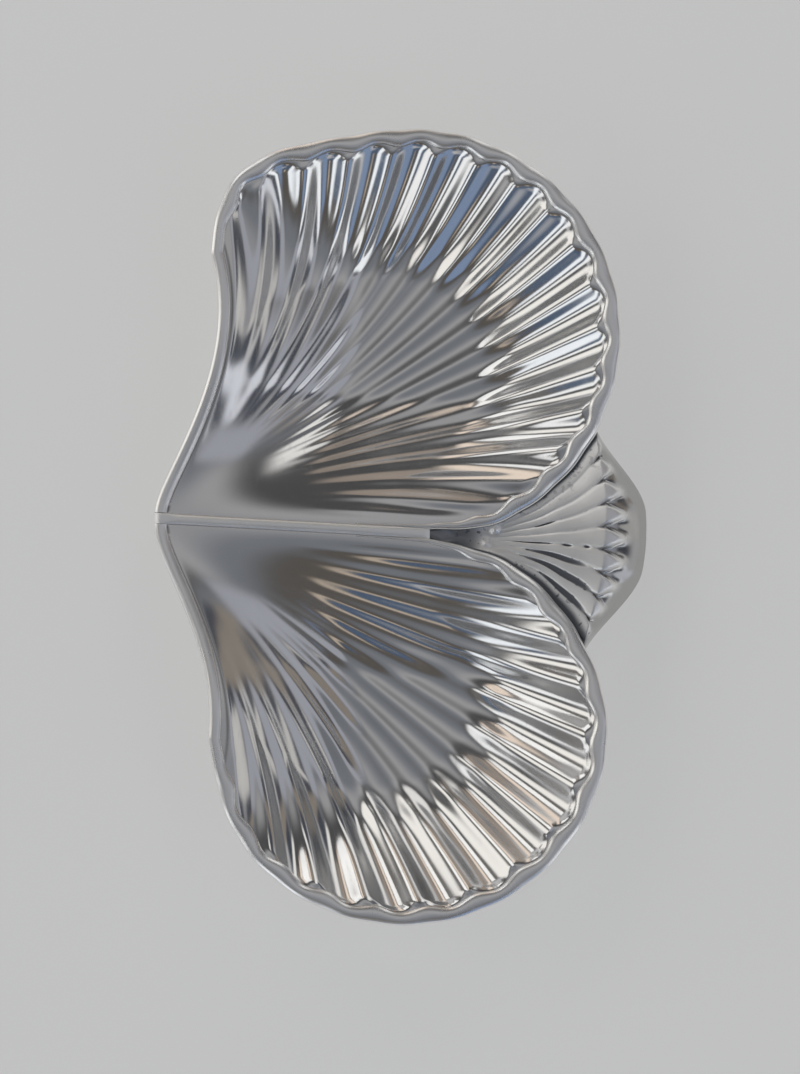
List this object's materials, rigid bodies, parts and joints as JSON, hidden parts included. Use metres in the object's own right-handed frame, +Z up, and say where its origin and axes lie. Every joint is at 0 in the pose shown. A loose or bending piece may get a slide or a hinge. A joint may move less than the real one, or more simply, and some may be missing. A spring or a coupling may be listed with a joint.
{
  "type": "shell-shaped serving tray",
  "caption": "Polished cast-metal serving tray of joined fluted scallop bowls with rounded rims, a dividing ridge and a small ribbed shell behind it, standing on ball feet",
  "frame": {"origin": "On the table, under the middle of the tray", "axes": "+X from the hinge tip towards the small ribbed shell, +Y towards the left bowl, +Z up"},
  "size_m": [0.2021, 0.3264, 0.0393],
  "materials": {
    "bowl_metal": "mirror polished, fine scratches",
    "rim_metal": "mirror polished, worn bright",
    "fan_metal": "polished, dark residue between the ribs",
    "foot_metal": "satin, scuffed on the flat"
  },
  "bodies": {
    "root": {"left_bowl": "bowl_metal", "right_bowl": "bowl_metal", "left_rim": "rim_metal", "right_rim": "rim_metal", "divider_ridge": "rim_metal", "fan_shell": "fan_metal", "left_front_foot": "foot_metal", "left_rear_foot": "foot_metal", "right_front_foot": "foot_metal", "right_rear_foot": "foot_metal"}
  },
  "joints": []
}
